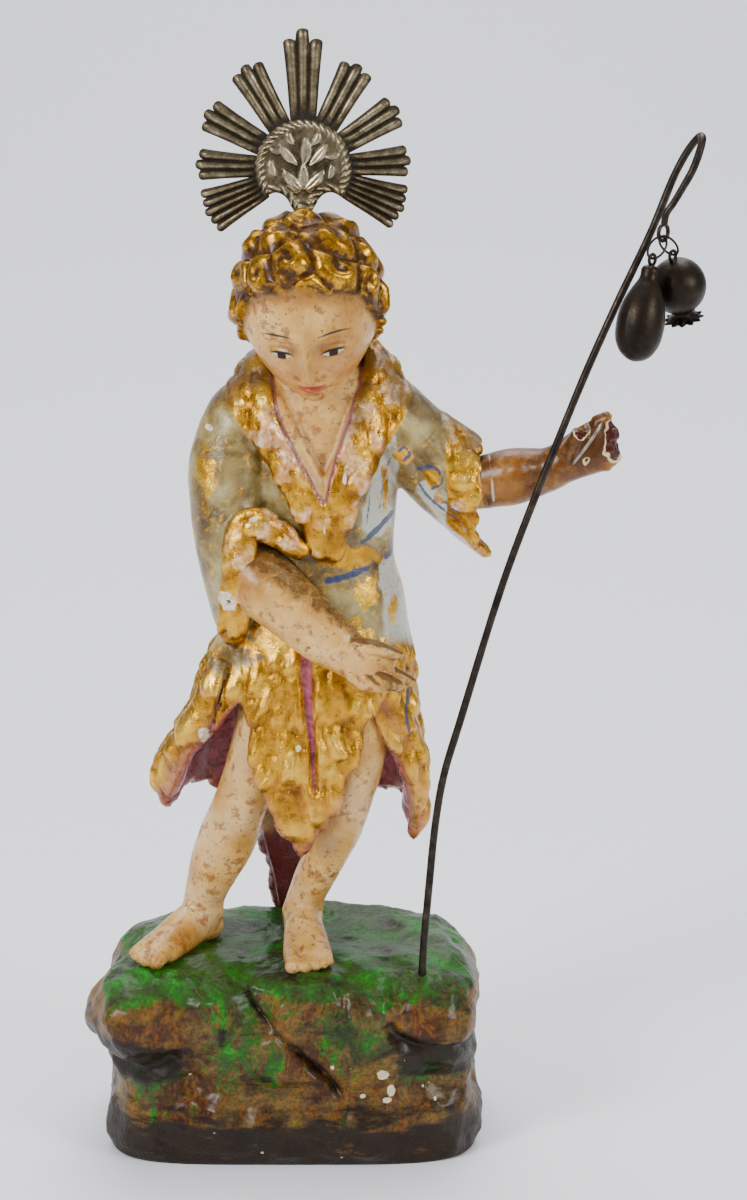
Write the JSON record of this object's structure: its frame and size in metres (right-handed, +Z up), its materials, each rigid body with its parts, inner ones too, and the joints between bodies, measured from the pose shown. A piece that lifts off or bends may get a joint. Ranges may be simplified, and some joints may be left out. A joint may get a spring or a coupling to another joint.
{
  "type": "wooden saint statue",
  "caption": "Carved, painted and gilded wooden figure of a child saint in a fleece-edged tunic on a rock, with a metal ray halo and a wire crook hung with a gourd and a fruit.",
  "frame": {"origin": "middle of the flat underside of the rock", "axes": "+Z up, the figure faces -Y, +X to the figure's left hand and the crook"},
  "size_m": [0.1816, 0.0781, 0.3364],
  "materials": {
    "rock": "green and brown paint over carved wood, varnished",
    "figure": "flesh paint and worn gold leaf over carved wood",
    "forearm": "old varnished flesh paint over carved wood",
    "halo": "aged pressed silver, dark in the flutes",
    "crook": "dark oxidised wire, satin",
    "rings": "dark oxidised wire, satin",
    "pendants": "dark oxidised thin metal, satin",
    "wire": "dull light wire"
  },
  "bodies": {
    "root": {"rock_base": "rock", "figure": "figure", "left_forearm": "forearm", "palm_wire": "wire", "halo": "halo", "crook": "crook", "gourd_ring": "rings", "fruit_ring": "rings", "gourd": "pendants", "pomegranate": "pendants"}
  },
  "joints": []
}
